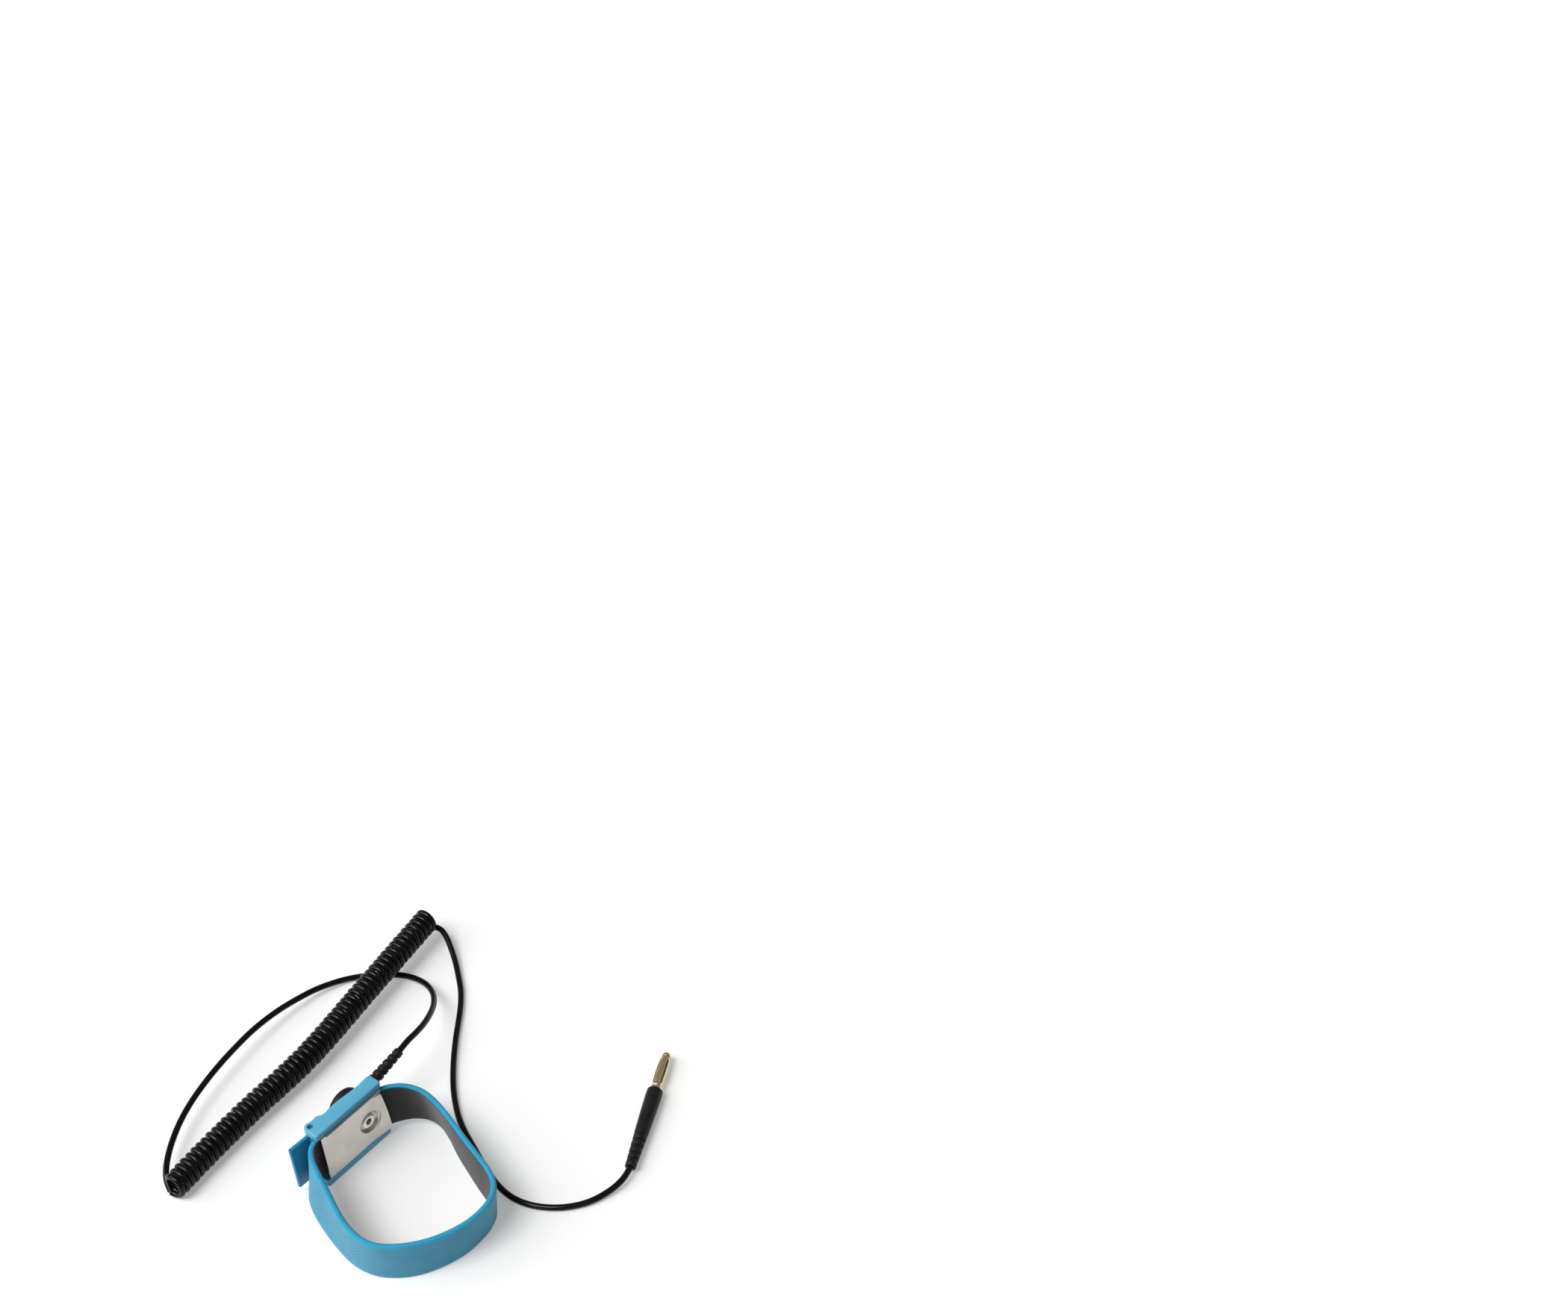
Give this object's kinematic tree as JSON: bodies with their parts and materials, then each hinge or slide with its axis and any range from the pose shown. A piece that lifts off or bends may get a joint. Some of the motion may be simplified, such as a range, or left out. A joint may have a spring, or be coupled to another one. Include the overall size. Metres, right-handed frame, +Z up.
{
  "type": "esd wrist strap",
  "caption": "Elastic wrist loop in a lever buckle, with a coiled ground cord that snaps onto it and ends in a banana plug.",
  "frame": {"origin": "centre of the wristband's own box at its foot: midway across the band and buckle in X and Y, on the table in Z", "axes": "+X along the buckle from its lever end to its cord end, +Y out of the buckle away from the wrist, +Z up along the loop's own axis"},
  "size_m": [0.1521, 0.1597, 0.027],
  "materials": {
    "band_fabric": "woven elastic, conductive inside",
    "buckle_plastic": "satin moulding",
    "lever_plastic": "satin moulding",
    "stainless": "rolled sheet",
    "overmould": "satin",
    "cord_jacket": "smooth jacket",
    "plug_metal": "nickel plated",
    "wire_metal": "tinned copper",
    "resistor_lacquer": "lacquered"
  },
  "bodies": {
    "wristband": {"elastic_band": "band_fabric", "buckle_frame": "buckle_plastic", "back_plate": "stainless", "stud_eyelet": "stainless", "snap_stud": "stainless"},
    "lever": {"clamp_lever": "lever_plastic"},
    "cord_set": {"snap_socket": "stainless", "socket_spring": "stainless", "wrist_run": "cord_jacket", "coil": "cord_jacket", "plug_run": "cord_jacket", "plug_strain_relief": "overmould", "plug_body": "overmould", "banana_pin": "plug_metal", "banana_spring": "plug_metal", "crimp_sleeve": "wire_metal", "plug_conductor": "wire_metal"},
    "snap_connector": {"snap_head": "overmould", "resistor_lead_inner": "wire_metal", "resistor_body": "resistor_lacquer", "resistor_lead_outer": "wire_metal", "wire_ferrule": "wire_metal", "wrist_conductor": "wire_metal", "wrist_strain_relief": "overmould"}
  },
  "joints": [
    {"name": "lever_hinge", "type": "hinge", "parent": "wristband", "child": "lever", "pos_m": [-0.01034, 0.0326, 0.0135], "axis": [0, 0, 1], "range_deg": [-177, 0]},
    {"name": "snap_pull_off", "type": "slide", "parent": "wristband", "child": "cord_set", "axis": [0, 1, 0], "range_m": [0, 0.005]},
    {"name": "snap_swivel", "type": "hinge", "parent": "cord_set", "child": "snap_connector", "pos_m": [0.0102, 0.03789, 0.0135], "axis": [0, -1, 0], "range_deg": [-15, 30]}
  ]
}
